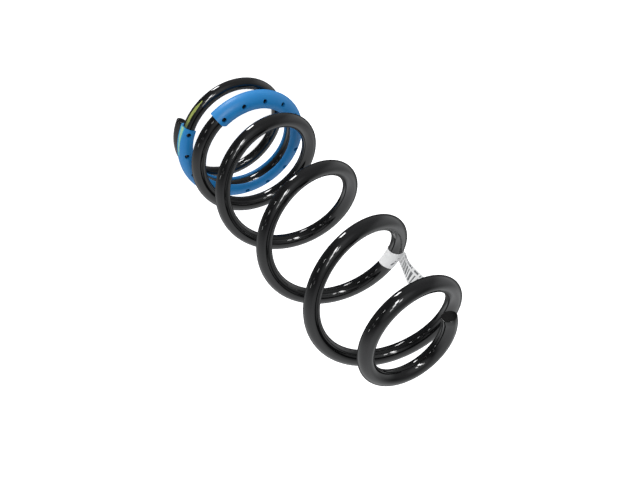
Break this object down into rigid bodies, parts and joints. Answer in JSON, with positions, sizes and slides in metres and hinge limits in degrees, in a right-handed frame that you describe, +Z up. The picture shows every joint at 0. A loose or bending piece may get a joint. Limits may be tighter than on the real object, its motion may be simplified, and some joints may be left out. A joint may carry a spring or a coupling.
{
  "type": "coil spring",
  "caption": "Compression coil spring for a car suspension: tapered bar, close and open coils, a narrowed end coil, a slit hose over one coil and a folded paper label.",
  "frame": {"origin": "on the spring's axis, in the plane the lower end coil sits on", "axes": "+Z up the spring's axis towards the narrowed end coil, +X from the axis through the bar 4 degrees beyond its lower cut end"},
  "size_m": [0.1216, 0.1169, 0.3155],
  "materials": {
    "coated_spring_steel": "gloss powder coat",
    "blue_hose": "satin",
    "paper_label": "matte"
  },
  "bodies": {
    "lower_end_coil": {"lower_end_coil": "coated_spring_steel"},
    "coil_2_quarter_1": {"coil_2_quarter_1": "coated_spring_steel"},
    "coil_2_quarter_2": {"coil_2_quarter_2": "coated_spring_steel"},
    "coil_2_quarter_3": {"coil_2_quarter_3": "coated_spring_steel", "noise_sleeve": "blue_hose"},
    "coil_2_quarter_4": {"coil_2_quarter_4": "coated_spring_steel"},
    "coil_3_quarter_1": {"coil_3_quarter_1": "coated_spring_steel"},
    "coil_3_quarter_2": {"coil_3_quarter_2": "coated_spring_steel"},
    "coil_3_quarter_3": {"coil_3_quarter_3": "coated_spring_steel"},
    "coil_3_quarter_4": {"coil_3_quarter_4": "coated_spring_steel"},
    "coil_4_quarter_1": {"coil_4_quarter_1": "coated_spring_steel"},
    "coil_4_quarter_2": {"coil_4_quarter_2": "coated_spring_steel"},
    "coil_4_quarter_3": {"coil_4_quarter_3": "coated_spring_steel"},
    "coil_4_quarter_4": {"coil_4_quarter_4": "coated_spring_steel"},
    "coil_5_quarter_1": {"coil_5_quarter_1": "coated_spring_steel"},
    "coil_5_quarter_2": {"coil_5_quarter_2": "coated_spring_steel"},
    "coil_5_quarter_3": {"coil_5_quarter_3": "coated_spring_steel", "barcode_label": "paper_label"},
    "coil_5_quarter_4": {"coil_5_quarter_4": "coated_spring_steel"},
    "coil_6_quarter_1": {"coil_6_quarter_1": "coated_spring_steel"},
    "coil_6_quarter_2": {"coil_6_quarter_2": "coated_spring_steel"},
    "coil_6_quarter_3": {"coil_6_quarter_3": "coated_spring_steel"},
    "coil_6_quarter_4": {"coil_6_quarter_4": "coated_spring_steel"},
    "upper_end_coil": {"upper_end_coil": "coated_spring_steel"}
  },
  "joints": [
    {"name": "compression", "type": "slide", "parent": "lower_end_coil", "child": "upper_end_coil", "axis": [0, 0, -1], "range_m": [0, 0.14], "stiffness_N_per_m": 45500},
    {"name": "coil_2_quarter_1_travel", "type": "slide", "parent": "lower_end_coil", "child": "coil_2_quarter_1", "axis": [0, 0, -1], "range_m": [0, 0.0022]},
    {"name": "coil_2_quarter_2_travel", "type": "slide", "parent": "lower_end_coil", "child": "coil_2_quarter_2", "axis": [0, 0, -1], "range_m": [0, 0.0046]},
    {"name": "coil_2_quarter_3_travel", "type": "slide", "parent": "lower_end_coil", "child": "coil_2_quarter_3", "axis": [0, 0, -1], "range_m": [0, 0.0069], "deforming": ["noise_sleeve"]},
    {"name": "coil_2_quarter_4_travel", "type": "slide", "parent": "lower_end_coil", "child": "coil_2_quarter_4", "axis": [0, 0, -1], "range_m": [0, 0.009]},
    {"name": "coil_3_quarter_1_travel", "type": "slide", "parent": "lower_end_coil", "child": "coil_3_quarter_1", "axis": [0, 0, -1], "range_m": [0, 0.011]},
    {"name": "coil_3_quarter_2_travel", "type": "slide", "parent": "lower_end_coil", "child": "coil_3_quarter_2", "axis": [0, 0, -1], "range_m": [0, 0.0128]},
    {"name": "coil_3_quarter_3_travel", "type": "slide", "parent": "lower_end_coil", "child": "coil_3_quarter_3", "axis": [0, 0, -1], "range_m": [0, 0.0155]},
    {"name": "coil_3_quarter_4_travel", "type": "slide", "parent": "lower_end_coil", "child": "coil_3_quarter_4", "axis": [0, 0, -1], "range_m": [0, 0.0219]},
    {"name": "coil_4_quarter_1_travel", "type": "slide", "parent": "lower_end_coil", "child": "coil_4_quarter_1", "axis": [0, 0, -1], "range_m": [0, 0.0315]},
    {"name": "coil_4_quarter_2_travel", "type": "slide", "parent": "lower_end_coil", "child": "coil_4_quarter_2", "axis": [0, 0, -1], "range_m": [0, 0.0415]},
    {"name": "coil_4_quarter_3_travel", "type": "slide", "parent": "lower_end_coil", "child": "coil_4_quarter_3", "axis": [0, 0, -1], "range_m": [0, 0.0515]},
    {"name": "coil_4_quarter_4_travel", "type": "slide", "parent": "lower_end_coil", "child": "coil_4_quarter_4", "axis": [0, 0, -1], "range_m": [0, 0.0616]},
    {"name": "coil_5_quarter_1_travel", "type": "slide", "parent": "lower_end_coil", "child": "coil_5_quarter_1", "axis": [0, 0, -1], "range_m": [0, 0.0716]},
    {"name": "coil_5_quarter_2_travel", "type": "slide", "parent": "lower_end_coil", "child": "coil_5_quarter_2", "axis": [0, 0, -1], "range_m": [0, 0.0818]},
    {"name": "coil_5_quarter_3_travel", "type": "slide", "parent": "lower_end_coil", "child": "coil_5_quarter_3", "axis": [0, 0, -1], "range_m": [0, 0.0919]},
    {"name": "coil_5_quarter_4_travel", "type": "slide", "parent": "lower_end_coil", "child": "coil_5_quarter_4", "axis": [0, 0, -1], "range_m": [0, 0.1021]},
    {"name": "coil_6_quarter_1_travel", "type": "slide", "parent": "lower_end_coil", "child": "coil_6_quarter_1", "axis": [0, 0, -1], "range_m": [0, 0.1123]},
    {"name": "coil_6_quarter_2_travel", "type": "slide", "parent": "lower_end_coil", "child": "coil_6_quarter_2", "axis": [0, 0, -1], "range_m": [0, 0.1225]},
    {"name": "coil_6_quarter_3_travel", "type": "slide", "parent": "lower_end_coil", "child": "coil_6_quarter_3", "axis": [0, 0, -1], "range_m": [0, 0.1325]},
    {"name": "coil_6_quarter_4_travel", "type": "slide", "parent": "lower_end_coil", "child": "coil_6_quarter_4", "axis": [0, 0, -1], "range_m": [0, 0.1388]}
  ],
  "couplings": [
    {"joint": "coil_2_quarter_1_travel", "follows": "compression", "ratio": 0.0144},
    {"joint": "coil_2_quarter_2_travel", "follows": "compression", "ratio": 0.0316},
    {"joint": "coil_2_quarter_3_travel", "follows": "compression", "ratio": 0.0477},
    {"joint": "coil_2_quarter_4_travel", "follows": "compression", "ratio": 0.0628},
    {"joint": "coil_3_quarter_1_travel", "follows": "compression", "ratio": 0.077},
    {"joint": "coil_3_quarter_2_travel", "follows": "compression", "ratio": 0.0901},
    {"joint": "coil_3_quarter_3_travel", "follows": "compression", "ratio": 0.1096},
    {"joint": "coil_3_quarter_4_travel", "follows": "compression", "ratio": 0.1549},
    {"joint": "coil_4_quarter_1_travel", "follows": "compression", "ratio": 0.2233},
    {"joint": "coil_4_quarter_2_travel", "follows": "compression", "ratio": 0.2947},
    {"joint": "coil_4_quarter_3_travel", "follows": "compression", "ratio": 0.3664},
    {"joint": "coil_4_quarter_4_travel", "follows": "compression", "ratio": 0.4383},
    {"joint": "coil_5_quarter_1_travel", "follows": "compression", "ratio": 0.5103},
    {"joint": "coil_5_quarter_2_travel", "follows": "compression", "ratio": 0.5826},
    {"joint": "coil_5_quarter_3_travel", "follows": "compression", "ratio": 0.6551},
    {"joint": "coil_5_quarter_4_travel", "follows": "compression", "ratio": 0.7278},
    {"joint": "coil_6_quarter_1_travel", "follows": "compression", "ratio": 0.8007},
    {"joint": "coil_6_quarter_2_travel", "follows": "compression", "ratio": 0.8739},
    {"joint": "coil_6_quarter_3_travel", "follows": "compression", "ratio": 0.9453},
    {"joint": "coil_6_quarter_4_travel", "follows": "compression", "ratio": 0.9898}
  ]
}
